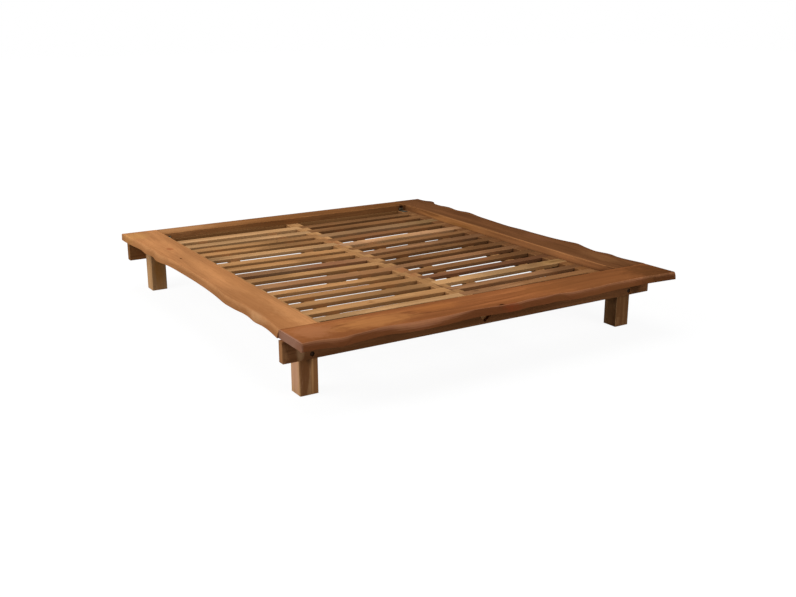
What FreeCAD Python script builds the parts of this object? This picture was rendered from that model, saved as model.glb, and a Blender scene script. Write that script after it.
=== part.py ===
import FreeCAD, Part
import os
from math import cos, pi, sin, sqrt

from FreeCAD import Placement, Rotation, Vector

# A wooden platform bed: four thick live-edge boards frame a well for the
# mattress. They lie on two end rails, two side rails and four square legs. The
# board at the head is flush with the inner face of its rail, and the left board
# grows a little wider towards the head.
# A centre beam on two legs of its own halves the span, and slats run from
# the beam to the side rails. The top of the beam is dished, so the slats fall
# a little towards it. Millimetres, +Z up, head of the bed at +Y.
# The pieces are laid out round the middle of the well with the floor at zero,
# and the finished bed is moved so that its box is centred on the origin.

# Mattress and the well that takes it
mattress_width = 1829.0
mattress_length = 2134.0
mattress_play = 21.0

# Heights
leg_height = 299.0
board_thickness = 40.0

# Boards: widths are those at the narrowest place of a live edge
left_board_width = 182.0
right_board_width = 196.0
foot_board_depth = 220.5
head_board_depth = 140.0
left_edge_wander = 36.0
right_edge_wander = 50.0
foot_edge_wander = 40.0
wane_lean = 18.0
board_arris = 3.0
seam_gap = 0.8
foot_board_left_over = 205.0
foot_board_right_over = 240.5
foot_board_end_skew = 8.0
right_flare = 26.0
right_flare_length = 190.0
left_taper = 12.8

# Legs and rails
leg_width = 96.0
leg_ease = 4.0
rail_height = 108.0
rail_ease = 2.5
end_rail_thickness = 38.0
end_rail_setback = 22.5
end_rail_stub = 103.0
end_rail_corner = 5.0
side_rail_width = 86.0
side_ledge = 67.0
beam_width = 90.0
beam_dip = 12.0
centre_leg_share = 0.434

# Tongue of the centre beam in the notch of each end rail
notch_width = 74.0
notch_straight = 63.0
notch_point = 36.0
notch_apex_share = 0.4
tongue_reach = 16.0
tongue_play = 0.5

# Slats and the battens under them
slat_thickness = 20.0
slat_cover_share = 0.5302
slat_arris = 1.5
slat_side_play = 0.5
slat_end_play = 1.0
first_slat_inset = 98.0
last_slat_inset = 15.5
beam_housing = 43.0
batten_width = 60.0
batten_thickness = 15.0
inner_batten_share = 0.2357
outer_batten_share = 0.7676
head_batten_slats = 6
foot_batten_slats = 5

# Steel angle brackets under the boards and at the beam
bracket_leg = 45.0
bracket_width = 40.0
bracket_thickness = 3.0
bracket_hole_pitch = 20.0
bracket_screw_inset = 28.0
side_bracket_share = 0.4687
end_bracket_share = 0.4973

# Small brackets in the two corners at the head
corner_bracket_width = 36.0
corner_bracket_run = 70.0
corner_bracket_rise = 22.0
corner_bracket_inset = 8.0
corner_run_screw_inset = 50.0
corner_rise_screw_inset = 12.0

# Pan-head screws of the brackets
screw_radius = 2.2
screw_length = 30.0
screw_head_radius = 4.2
screw_head_height = 2.2
screw_tip = 5.0
screw_play = 0.3

# Countersunk screws from the battens up into the slats
batten_screw_radius = 1.8
batten_screw_length = 26.0
batten_screw_head_radius = 3.8
batten_screw_head_depth = 2.4

# Coach bolts that pull the rails to the legs
bolt_radius = 5.0
bolt_play = 0.5
bolt_tip = 8.0
bolt_head_across = 17.0
bolt_head_height = 6.5
end_bolt_length = 100.0
side_bolt_length = 140.0
washer_radius = 11.0
washer_thickness = 2.0
counterbore_radius = 12.0
end_counterbore_depth = 12.0
side_counterbore_depth = 25.0
low_bolt_rise = 24.0
high_bolt_drop = 36.0
side_bolt_spacing = 40.0

# Dowels across the seams of the boards
dowel_radius = 5.0
dowel_length = 60.0
dowel_play = 0.3
dowel_inset = 50.0
head_dowel_inset = 25.0
dowel_spacing = 60.0

# Live edges, from the foot of a side board to its head: share of the board's
# length, share of the wander outwards, share of the lean at the top arris
left_edge_shares = (
    (0.000, 0.86, 0.9), (0.042, 0.53, 0.7), (0.070, 0.39, 0.8), (0.094, 0.42, 1.0),
    (0.113, 0.56, 0.9), (0.145, 0.39, 0.7), (0.174, 0.28, 0.6), (0.197, 0.36, 0.8),
    (0.218, 0.53, 1.0), (0.242, 0.61, 0.9), (0.268, 0.67, 0.6), (0.301, 0.53, 0.5),
    (0.340, 0.31, 0.6), (0.375, 0.17, 0.8), (0.442, 0.03, 0.6), (0.508, 0.00, 0.4),
    (0.574, 0.06, 0.5), (0.639, 0.19, 0.7), (0.671, 0.39, 0.9), (0.729, 0.78, 1.0),
    (0.768, 0.44, 0.6), (0.803, 0.72, 0.9), (0.853, 0.56, 0.7), (0.895, 0.72, 0.6),
    (0.952, 1.00, 0.5), (1.000, 1.04, 0.1),
)
right_edge_shares = (
    (0.000, 1.05, 0.6), (0.041, 0.69, 0.5), (0.070, 0.49, 0.4), (0.089, 0.61, 0.6),
    (0.111, 0.85, 0.8), (0.128, 0.71, 0.7), (0.158, 0.28, 0.4), (0.178, 0.43, 0.5),
    (0.200, 0.65, 0.6), (0.227, 1.06, 0.9), (0.252, 1.28, 1.0), (0.268, 1.07, 0.8),
    (0.301, 0.66, 0.5), (0.338, 0.42, 0.4), (0.376, 0.38, 0.5), (0.417, 0.34, 0.6),
    (0.461, 0.28, 0.5), (0.502, 0.02, 0.3), (0.551, 0.10, 0.4), (0.603, 0.32, 0.6),
    (0.656, 0.42, 0.5), (0.686, 0.65, 0.7), (0.719, 0.98, 0.9), (0.743, 0.88, 0.7),
    (0.762, 0.53, 0.5), (0.784, 0.34, 0.4), (0.816, 0.61, 0.6), (0.844, 0.66, 0.7),
    (0.864, 0.28, 0.4), (0.897, 0.28, 0.5), (0.911, 0.42, 0.5), (0.922, 0.80, 0.6),
    (0.935, 1.04, 0.7), (0.947, 0.90, 0.6), (0.958, 0.56, 0.6), (0.970, 0.34, 0.5),
    (0.984, 0.26, 0.5), (1.000, 0.20, 0.3),
)
# The same for the front of the foot board, from its left end to its right
foot_edge_shares = (
    (0.000, 0.38, 0.3), (0.029, 0.28, 0.5), (0.059, 0.55, 0.5), (0.086, 0.90, 0.5),
    (0.105, 0.68, 0.4), (0.138, 0.40, 0.3), (0.162, 0.22, 0.4), (0.199, 0.10, 0.7),
    (0.219, 0.35, 1.0), (0.245, 0.60, 1.4), (0.275, 0.68, 1.5), (0.305, 0.62, 1.3),
    (0.339, 0.50, 0.8), (0.381, 0.18, 0.4), (0.409, 0.02, 0.2), (0.457, 0.28, 0.2),
    (0.496, 0.45, 0.3), (0.523, 0.45, 0.4), (0.556, 0.15, 0.4), (0.595, 0.25, 0.3),
    (0.641, 0.12, 0.3), (0.677, 0.50, 0.4), (0.725, 0.40, 0.4), (0.756, 0.38, 0.4),
    (0.776, 0.22, 0.4), (0.839, 0.05, 0.5), (0.904, 0.02, 0.5), (0.960, 0.25, 0.6),
    (1.000, 0.45, 0.7),
)
# A live edge leans in slowly at first and faster towards the top: share of the
# board's thickness, share of the lean
wane_shares = (
    (0.000, 0.00), (0.300, 0.08), (0.550, 0.22), (0.750, 0.42),
    (0.925, 0.74), (0.975, 0.92), (1.000, 1.14),
)

# Slats from head to foot: place in pitches from the first, width in slat widths
left_slat_shares = (
    (0.00, 1.07), (1.08, 0.97), (1.97, 0.97), (2.91, 0.97), (3.85, 0.96), (4.99, 0.98),
    (5.90, 0.97), (7.01, 0.96), (7.98, 0.93), (9.06, 1.08), (10.12, 0.82), (11.05, 0.85),
    (12.04, 0.93), (13.04, 1.03), (13.97, 0.83), (15.00, 0.90),
)
right_slat_shares = (
    (0.02, 0.91), (1.00, 1.08), (2.10, 1.11), (3.09, 0.91), (4.18, 1.03), (5.09, 0.80),
    (6.12, 1.01), (7.04, 0.78), (8.02, 0.91), (8.92, 0.86), (9.97, 0.94), (10.98, 0.78),
    (12.02, 1.08), (13.08, 0.86), (13.96, 0.89), (15.00, 0.90),
)

# Places that follow from the sizes above
half_well = (mattress_width + mattress_play) / 2
half_length = (mattress_length + mattress_play) / 2
rail_top = leg_height
rail_bottom = leg_height - rail_height
end_rail_inner = half_length + end_rail_setback
end_rail_outer = end_rail_inner + end_rail_thickness
side_rail_inner = half_well - side_ledge
side_rail_outer = side_rail_inner + side_rail_width
leg_outer = side_rail_outer + leg_width
leg_middle = side_rail_outer + leg_width / 2
leg_middle_along = end_rail_inner - leg_width / 2
end_rail_reach = leg_outer + end_rail_stub
beam_side = beam_width / 2
board_foot = half_length - seam_gap
board_back = end_rail_inner + head_board_depth
side_board_length = board_back + board_foot
centre_leg_place = half_length * centre_leg_share
slat_run = 2 * half_length - first_slat_inset - last_slat_inset
slat_pitch = slat_run / left_slat_shares[-1][0]
slat_width = slat_pitch * slat_cover_share
side_bracket_spacing = half_length * side_bracket_share
end_bracket_spacing = half_well * end_bracket_share

ALONG_X = Vector(1, 0, 0)
ALONG_Y = Vector(0, 1, 0)
UP = Vector(0, 0, 1)

nodes = {}
cuts = {}


def group(name):
    """The list of separate solids that share the node of this name."""
    return nodes.setdefault(name, [])


def bore(name, tool):
    """Notes a hole that the finished piece of this name gets."""
    cuts.setdefault(name, []).append(tool)


def block(x0, x1, y0, y1, z0, z1):
    return Part.makeBox(x1 - x0, y1 - y0, z1 - z0, Vector(x0, y0, z0))


def edges_along(shape, axis):
    """The straight edges of a block that run along one axis."""
    return [e for e in shape.Edges if abs(abs(e.tangentAt(e.FirstParameter).dot(axis)) - 1) < 1e-6]


def upper(edges):
    """The edges among these that lie at the highest level."""
    top = max(e.BoundBox.ZMax for e in edges)
    return [e for e in edges if e.BoundBox.ZMin > top - board_arris]


def lower(edges):
    """The edges among these that lie at the lowest level."""
    floor = min(e.BoundBox.ZMin for e in edges)
    return [e for e in edges if e.BoundBox.ZMax < floor + board_arris]


def turned(profile):
    """A solid of revolution about Z from the radius and height of its corners."""
    points = [Vector(radius, 0, height) for radius, height in profile]
    face = Part.Face(Part.makePolygon(points + points[:1]))
    return face.revolve(Vector(0, 0, 0), UP, 360)


def aimed(shape, at, direction):
    """A copy whose own Z axis points along the direction from this place."""
    moved = shape.copy()
    moved.Placement = Placement(at, Rotation(UP, direction))
    return moved


def spline(points):
    curve = Part.BSplineCurve()
    curve.interpolate(points)
    return curve.toShape()


# Boards

def board_levels(edge_shares, length, width, wander, place, inner):
    """Lofts a board through the levels of its live edge, from the underside up.

    place turns a distance along and a distance out from the inner edge into
    X and Y. inner gives the edges of the inner side at one level.
    """
    arris_share = 1 - board_arris / board_thickness
    sections = []
    for level, lean in wane_shares:
        height = leg_height + board_thickness * level
        set_in = board_arris * max(0, (level - arris_share) / (1 - arris_share))
        points = [
            place(share * length, width + wander * out - wane_lean * lean * wane, height)
            for share, out, wane in edge_shares
        ]
        inner_edges = inner(height, set_in)
        first = inner_edges[0].Vertexes[0].Point
        last = inner_edges[-1].Vertexes[-1].Point
        edges = inner_edges + [
            Part.makeLine(last, points[-1]),
            spline(points[::-1]),
            Part.makeLine(points[0], first),
        ]
        sections.append(Part.Wire(edges))
    return Part.makeLoft(sections, True, True)


def flared(at):
    """Inner side of the right board, which curves away from the well at its foot."""
    start, bend = at(0, right_flare), at(right_flare_length / 2, right_flare / 4)
    straight = at(right_flare_length, 0)
    return [
        Part.Arc(start, bend, straight).toShape(),
        Part.makeLine(straight, at(side_board_length, 0)),
    ]


def tapered(at):
    """Inner side of the left board, which leans into the well towards the head."""
    return [Part.makeLine(at(0, 0), at(side_board_length, -left_taper))]


def side_board(side, edge_shares, width, wander, inner_side):
    """A board beside the well, on the left (-1) or the right (1)."""

    def place(along, out, height):
        return Vector(side * (half_well + out), along - board_foot, height)

    def inner(height, set_in):
        return inner_side(lambda along, out: place(along, out + set_in, height))

    return board_levels(edge_shares, side_board_length, width, wander, place, inner)


def foot_board():
    left_end = half_well + foot_board_left_over
    length = left_end + half_well + foot_board_right_over

    def place(along, out, height):
        return Vector(along - left_end, -half_length - out, height)

    def inner(height, set_in):
        last = place(length - foot_board_end_skew, set_in, height)
        return [Part.makeLine(place(0, set_in, height), last)]

    return board_levels(foot_edge_shares, length, foot_board_depth, foot_edge_wander, place, inner)


def left_seam(y):
    """Where the left board's inner side stands at this place along the bed."""
    return left_taper * (y + board_foot) / side_board_length - half_well


def head_board():
    right = half_well - seam_gap
    corners = [
        Vector(left_seam(end_rail_inner) + seam_gap, end_rail_inner, leg_height),
        Vector(right, end_rail_inner, leg_height),
        Vector(right, board_back, leg_height),
        Vector(left_seam(board_back) + seam_gap, board_back, leg_height),
    ]
    board = Part.Face(Part.makePolygon(corners + corners[:1])).extrude(UP * board_thickness)
    return board.makeChamfer(board_arris, upper(edges_along(board, ALONG_X)))


nodes["left_side_board"] = side_board(
    -1, left_edge_shares, left_board_width, left_edge_wander, tapered
)
nodes["right_side_board"] = side_board(
    1, right_edge_shares, right_board_width, right_edge_wander, flared
)
nodes["foot_board"] = foot_board()
nodes["head_board"] = head_board()


# Legs

def post(x, y, height):
    half = leg_width / 2
    leg = block(x - half, x + half, y - half, y + half, 0, height)
    return leg.makeFillet(leg_ease, edges_along(leg, UP))


for end_name, end in (("foot", -1), ("head", 1)):
    for side_name, side in (("left", -1), ("right", 1)):
        leg_name = end_name + "_" + side_name + "_leg"
        nodes[leg_name] = post(side * leg_middle, end * leg_middle_along, leg_height)
    nodes["centre_" + end_name + "_leg"] = post(0, end * centre_leg_place, rail_bottom)


# Rails and the centre beam

def notch_outline(end, y, play):
    """The pointed notch of an end rail, or the beam's tongue when play is set."""
    half = notch_width / 2 - play
    shoulder = rail_top - notch_straight
    apex = Vector(-half + 2 * half * notch_apex_share, y, shoulder - notch_point + play)
    points = [
        Vector(-half, y, rail_top),
        Vector(-half, y, shoulder),
        apex,
        Vector(half, y, shoulder),
        Vector(half, y, rail_top),
    ]
    return Part.Face(Part.makePolygon(points + points[:1]))


def end_rail(end):
    inner, outer = sorted((end * end_rail_inner, end * end_rail_outer))
    rail = block(-end_rail_reach, end_rail_reach, inner, outer, rail_bottom, rail_top)
    rail = rail.makeFillet(end_rail_corner, lower(edges_along(rail, ALONG_Y)))
    rail = rail.makeFillet(rail_ease, edges_along(rail, ALONG_X))
    notch = notch_outline(end, inner, 0).extrude(ALONG_Y * end_rail_thickness)
    return rail.cut(notch)


def slat_level(x, y):
    """Height of a slat's top: it falls from the side rail to the beam."""
    dip = beam_dip * (1 - (y / end_rail_inner) ** 2)
    return rail_top - dip * (1 - abs(x) / half_well)


def slanted(outline, x0, x1, y):
    """Extrudes an outline from x0 to x1 along the fall of the slat at y.

    The outline gives places along the bed and heights over the slat's top.
    """
    start = slat_level(x0, y)
    points = [Vector(x0, along, start + over) for along, over in outline]
    face = Part.Face(Part.makePolygon(points + points[:1]))
    return face.extrude(Vector(x1 - x0, 0, slat_level(x1, y) - start))


def slat_span(place_share, width_share):
    """Near and far edge of a slat along the bed."""
    middle = half_length - first_slat_inset - place_share * slat_pitch
    half = slat_width * width_share / 2
    return middle - half, middle + half


def housings(shares, x0, x1):
    """Sockets for the ends of the slats, open at the top."""
    sockets = []
    for row in shares:
        near, far = slat_span(*row)
        middle = (near + far) / 2
        near -= slat_side_play
        far += slat_side_play
        outline = [
            (near, -slat_thickness), (far, -slat_thickness),
            (far, board_thickness), (near, board_thickness),
        ]
        sockets.append(slanted(outline, x0, x1, middle))
    return sockets


def side_rail(side, shares):
    x0, x1 = sorted((side * side_rail_inner, side * side_rail_outer))
    u0, u1 = sorted((side * side_rail_inner, side * half_well))
    rail = block(x0, x1, -end_rail_inner, end_rail_inner, rail_bottom, rail_top)
    rail = rail.makeFillet(rail_ease, edges_along(rail, ALONG_Y))
    return rail.cut(Part.makeCompound(housings(shares, u0, u1)))


def centre_beam():
    foot_low, head_low, head_high, foot_high = [
        Vector(-beam_side, end * end_rail_inner, height)
        for end, height in ((-1, rail_bottom), (1, rail_bottom), (1, rail_top), (-1, rail_top))
    ]
    dished = Vector(-beam_side, 0, rail_top - beam_dip)
    outline = Part.Wire([
        Part.makeLine(foot_low, head_low),
        Part.makeLine(head_low, head_high),
        Part.Arc(head_high, dished, foot_high).toShape(),
        Part.makeLine(foot_high, foot_low),
    ])
    beam = Part.Face(outline).extrude(ALONG_X * beam_width)
    beam = beam.makeFillet(rail_ease, [e for e in beam.Edges if e.Length > half_length])
    sockets = housings(left_slat_shares, -beam_side, beam_housing - beam_side)
    sockets += housings(right_slat_shares, beam_side - beam_housing, beam_side)
    beam = beam.cut(Part.makeCompound(sockets))
    for end in (-1, 1):
        root, tip = sorted((end * end_rail_inner, end * (end_rail_inner + tongue_reach)))
        outline = notch_outline(end, root, tongue_play)
        beam = beam.fuse(outline.extrude(ALONG_Y * (tip - root)))
    return beam.removeSplitter()


nodes["foot_rail"] = end_rail(-1)
nodes["head_rail"] = end_rail(1)
nodes["left_side_rail"] = side_rail(-1, left_slat_shares)
nodes["right_side_rail"] = side_rail(1, right_slat_shares)
nodes["centre_beam"] = centre_beam()


# Slats and battens

def slat(side, near, far):
    inner = beam_side - beam_housing + slat_end_play
    outer = (half_well if side > 0 else -left_seam(far)) - slat_end_play
    outline = [
        (near, -slat_thickness), (far, -slat_thickness), (far, -slat_arris),
        (far - slat_arris, 0), (near + slat_arris, 0), (near, -slat_arris),
    ]
    return slanted(outline, side * inner, side * outer, (near + far) / 2)


def batten(x, spans):
    """A batten that lies against the undersides of the slats in these spans."""
    sides = []
    for edge in (x - batten_width / 2, x + batten_width / 2):
        top = []
        for near, far in spans:
            level = slat_level(edge, (near + far) / 2) - slat_thickness
            top += [Vector(edge, far, level), Vector(edge, near, level)]
        points = top + [point - UP * batten_thickness for point in reversed(top)]
        sides.append(Part.makePolygon(points + points[:1]))
    return Part.makeLoft(sides, True, True)


def slat_name(side_name, number):
    return "%s_slat_%02d" % (side_name, number)


def slats(side_name, side, shares):
    for number, row in enumerate(shares, 1):
        nodes[slat_name(side_name, number)] = slat(side, *slat_span(*row))


def tie(name, side_name, side, place_share, shares, first, last):
    """Screws a batten from below to the slats with these first and last numbers."""
    x = side * half_well * place_share
    spans = [slat_span(*row) for row in shares[first - 1:last]]
    nodes[name] = batten(x, spans)
    for number, (near, far) in enumerate(spans, first):
        middle = (near + far) / 2
        at = Vector(x, middle, slat_level(x, middle) - slat_thickness - batten_thickness)
        group("batten_screws").append(aimed(batten_screw(0), at, UP))
        bore(name, aimed(batten_screw(screw_play), at, UP))
        bore(slat_name(side_name, number), aimed(batten_screw(screw_play), at, UP))


def batten_screw(play):
    """A countersunk screw that points up, or its hole when play is set."""
    radius = batten_screw_radius + play
    head = batten_screw_head_radius + play
    length = batten_screw_length + play
    return turned([
        (0, 0), (head, 0), (radius, batten_screw_head_depth),
        (radius, length - batten_screw_radius), (0, length),
    ])


slats("left", -1, left_slat_shares)
slats("right", 1, right_slat_shares)

left_count = len(left_slat_shares)
right_count = len(right_slat_shares)
left_rest = left_count - foot_batten_slats + 1
tie("left_inner_batten", "left", -1, inner_batten_share, left_slat_shares, 1, left_count)
tie("left_head_batten", "left", -1, outer_batten_share, left_slat_shares, 1, head_batten_slats)
tie("left_foot_batten", "left", -1, outer_batten_share, left_slat_shares, left_rest, left_count)
tie("right_inner_batten", "right", 1, inner_batten_share, right_slat_shares, 1, right_count)
tie("right_outer_batten", "right", 1, outer_batten_share, right_slat_shares, 1, right_count)


# Angle brackets and their screws

def bracket_screw(at, direction, plate, wood):
    """A pan-head screw through a plate into wood; at lies on the wood."""
    back = screw_head_height + plate
    screw = turned([
        (0, -back), (screw_head_radius, -back), (screw_head_radius, -plate),
        (screw_radius, -plate), (screw_radius, screw_length - screw_tip), (0, screw_length),
    ])
    group("bracket_screws").append(aimed(screw, at, direction))
    hole = Part.makeCylinder(screw_radius + screw_play, screw_length + screw_play)
    bore(wood, aimed(hole, at, direction))


def angle(run, rise, width, run_inset, rise_inset):
    """An angle with its corner on the Y axis: run along X, rise along Z."""
    half = width / 2
    flat = block(0, run, -half, half, 0, bracket_thickness)
    upright = block(0, bracket_thickness, -half, half, 0, rise)
    plate = flat.fuse(upright).removeSplitter()
    for shift in (-bracket_hole_pitch / 2, bracket_hole_pitch / 2):
        radius = screw_radius + screw_play
        down = Part.makeCylinder(radius, bracket_thickness, Vector(run_inset, shift, 0))
        through = Part.makeCylinder(radius, bracket_thickness, Vector(0, shift, rise_inset), ALONG_X)
        plate = plate.cut(down).cut(through)
    return plate


def mount_angle(name, shape, corner, run_axis, rise_axis, insets, woods):
    """Seats an angle in an inside corner and drives its four screws.

    The run lies on the first wood and the rise on the second.
    """
    width_axis = rise_axis.cross(run_axis)
    turn = FreeCAD.Matrix(
        run_axis.x, width_axis.x, rise_axis.x, corner.x,
        run_axis.y, width_axis.y, rise_axis.y, corner.y,
        run_axis.z, width_axis.z, rise_axis.z, corner.z,
        0, 0, 0, 1,
    )
    group(name).append(shape.transformGeometry(turn))
    for shift in (-bracket_hole_pitch / 2, bracket_hole_pitch / 2):
        run_at = corner + run_axis * insets[0] + width_axis * shift
        bracket_screw(run_at, -rise_axis, bracket_thickness, woods[0])
        rise_at = corner + rise_axis * insets[1] + width_axis * shift
        bracket_screw(rise_at, -run_axis, bracket_thickness, woods[1])


large_angle = angle(
    bracket_leg, bracket_leg, bracket_width, bracket_screw_inset, bracket_screw_inset
)
large_insets = (bracket_screw_inset, bracket_screw_inset)
DOWN = -UP

for side_name, side in (("left", -1), ("right", 1)):
    board_name = side_name + "_side_board"
    rail_name = side_name + "_side_rail"
    out = ALONG_X * side
    for step in (-1.5, -0.5, 0.5, 1.5):
        corner = Vector(side * side_rail_outer, step * side_bracket_spacing, rail_top)
        mount_angle(
            "angle_brackets", large_angle, corner, out, DOWN, large_insets, (board_name, rail_name)
        )

for end_name, end in (("foot", -1), ("head", 1)):
    board_name = end_name + "_board"
    rail_name = end_name + "_rail"
    out = ALONG_Y * end
    for step in (-1.5, -0.5, 0.5, 1.5):
        corner = Vector(step * end_bracket_spacing, end * end_rail_outer, rail_top)
        mount_angle(
            "angle_brackets", large_angle, corner, out, DOWN, large_insets, (board_name, rail_name)
        )
    for side in (-1, 1):
        corner = Vector(side * beam_side, end * end_rail_inner, rail_bottom + bracket_width / 2)
        mount_angle(
            "angle_brackets", large_angle, corner, ALONG_X * side, -out, large_insets,
            (rail_name, "centre_beam"),
        )
        leg_face = end * centre_leg_place + side * leg_width / 2
        mount_angle(
            "angle_brackets", large_angle, Vector(0, leg_face, rail_bottom),
            ALONG_Y * side, DOWN, large_insets, ("centre_beam", "centre_" + end_name + "_leg"),
        )

small_angle = angle(
    corner_bracket_run, corner_bracket_rise, corner_bracket_width,
    corner_run_screw_inset, corner_rise_screw_inset,
)
for side_name, side in (("left", -1), ("right", 1)):
    middle = side_rail_inner + corner_bracket_inset + corner_bracket_width / 2
    mount_angle(
        "corner_brackets", small_angle, Vector(side * middle, end_rail_inner, rail_top),
        -ALONG_Y, UP, (corner_run_screw_inset, corner_rise_screw_inset),
        (side_name + "_side_rail", "head_board"),
    )


# Coach bolts with washers

def hexagon_head():
    radius = bolt_head_across / sqrt(3)
    corners = [
        Vector(radius * cos(step * pi / 3), radius * sin(step * pi / 3), -bolt_head_height)
        for step in range(6)
    ]
    face = Part.Face(Part.makePolygon(corners + corners[:1]))
    return face.extrude(UP * bolt_head_height)


def coach_bolt(name, at, direction, length, depth, rail, leg):
    """A bolt from the face of a rail, sunk by the depth, into a leg."""
    seat = at + direction * (depth - washer_thickness)
    shank = turned([(0, 0), (bolt_radius, 0), (bolt_radius, length - bolt_tip), (0, length)])
    bolt = hexagon_head().fuse(shank).removeSplitter()
    group(name).append(aimed(bolt, seat, direction))
    ring = Part.makeCylinder(washer_radius, washer_thickness)
    ring = ring.cut(Part.makeCylinder(bolt_radius + bolt_play, washer_thickness))
    group("bolt_washers").append(aimed(ring, seat, direction))
    bore(rail, aimed(Part.makeCylinder(counterbore_radius, depth), at, direction))
    shank_hole = Part.makeCylinder(bolt_radius + bolt_play, length + bolt_play)
    bore(rail, aimed(shank_hole, seat, direction))
    bore(leg, aimed(shank_hole, seat, direction))


for end_name, end in (("foot", -1), ("head", 1)):
    for side_name, side in (("left", -1), ("right", 1)):
        leg_name = end_name + "_" + side_name + "_leg"
        for height in (rail_bottom + low_bolt_rise, rail_top - high_bolt_drop):
            coach_bolt(
                "end_rail_bolts", Vector(side * leg_middle, end * end_rail_outer, height),
                ALONG_Y * -end, end_bolt_length, end_counterbore_depth,
                end_name + "_rail", leg_name,
            )
        for shift in (-side_bolt_spacing / 2, side_bolt_spacing / 2):
            height = (rail_bottom + low_bolt_rise + rail_top - high_bolt_drop) / 2
            along = end * leg_middle_along + shift
            coach_bolt(
                "side_rail_bolts", Vector(side * side_rail_inner, along, height),
                ALONG_X * side, side_bolt_length, side_counterbore_depth,
                side_name + "_side_rail", leg_name,
            )


# Dowels across the seams

def dowel(middle, axis, first, second):
    start = middle - axis * (dowel_length / 2)
    group("board_dowels").append(Part.makeCylinder(dowel_radius, dowel_length, start, axis))
    reach = dowel_length + 2 * dowel_play
    hole_start = middle - axis * (reach / 2)
    for name in (first, second):
        bore(name, Part.makeCylinder(dowel_radius + dowel_play, reach, hole_start, axis))


dowel_height = leg_height + board_thickness / 2
for side_name, side in (("left", -1), ("right", 1)):
    for step in (0, 1):
        out = half_well + dowel_inset + step * dowel_spacing
        foot_seam = Vector(side * out, -half_length, dowel_height)
        dowel(foot_seam, ALONG_Y, side_name + "_side_board", "foot_board")
        along = board_back - head_dowel_inset - step * dowel_spacing
        seam = left_seam(along) if side < 0 else half_well
        dowel(Vector(seam, along, dowel_height), ALONG_X, side_name + "_side_board", "head_board")


# Holes, the move to the origin, and one file for each piece

for name, tools in cuts.items():
    nodes[name] = nodes[name].cut(Part.makeCompound(tools))

whole = Part.makeCompound([
    solid for shape in nodes.values() for solid in (shape if isinstance(shape, list) else [shape])
])
box = whole.optimalBoundingBox(False, False)
to_origin = Vector(-box.Center.x, -box.Center.y, -box.ZMin)

os.makedirs("parts", exist_ok=True)
for name, shape in nodes.items():
    if isinstance(shape, list):
        shape = Part.makeCompound(shape)
    shape.translate(to_origin)
    shape.exportStep("parts/" + name + ".step")

print("nodes", len(nodes))
print("box", box.XLength, box.YLength, box.ZLength, "moved by", to_origin)
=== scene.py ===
import math
import random

import bpy
from mathutils import Euler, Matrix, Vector


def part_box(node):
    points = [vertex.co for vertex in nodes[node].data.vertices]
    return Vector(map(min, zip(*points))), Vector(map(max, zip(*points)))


# A wooden platform bed: live-edge boards round a mattress well, four square
# legs, end rails, side rails, a centre beam and loose slats. Metres, +Z up,
# the head of the bed at +Y.

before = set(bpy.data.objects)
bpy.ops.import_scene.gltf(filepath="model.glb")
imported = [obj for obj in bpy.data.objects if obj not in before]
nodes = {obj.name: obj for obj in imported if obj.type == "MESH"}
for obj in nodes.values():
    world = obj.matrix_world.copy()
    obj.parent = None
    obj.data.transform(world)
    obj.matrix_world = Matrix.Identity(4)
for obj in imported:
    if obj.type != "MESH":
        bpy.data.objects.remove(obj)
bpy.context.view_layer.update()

# The middle of the well in the part's frame
WELL_X = -0.020091
WELL_Y = 0.047012


def well(x, y, z):
    """A place given in millimetres from the middle of the well."""
    return Vector((x / 1000 + WELL_X, y / 1000 + WELL_Y, z / 1000))


# Camera, as solved from the straight edges of the bed

CAMERA_PLACE = (-2.94859, -4.95489, 1.7565)
CAMERA_TILT = 73.488
CAMERA_TURN = -31.843
SENSOR_WIDTH = 36.0
LENS = 44.94
FAR_CLIP = 60.0


def place_camera():
    data = bpy.data.cameras.new("camera")
    data.sensor_width = SENSOR_WIDTH
    data.lens = LENS
    data.clip_end = FAR_CLIP
    camera = bpy.data.objects.new("camera", data)
    bpy.context.scene.collection.objects.link(camera)
    camera.location = CAMERA_PLACE
    camera.rotation_euler = (math.radians(CAMERA_TILT), 0.0, math.radians(CAMERA_TURN))
    bpy.context.scene.camera = camera


place_camera()
bpy.context.scene.view_settings.view_transform = "Standard"


# Node tree helpers

# The sockets of a Mix node that carry colours
MIX_FIRST = 6
MIX_SECOND = 7
MIX_RESULT = 2


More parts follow.
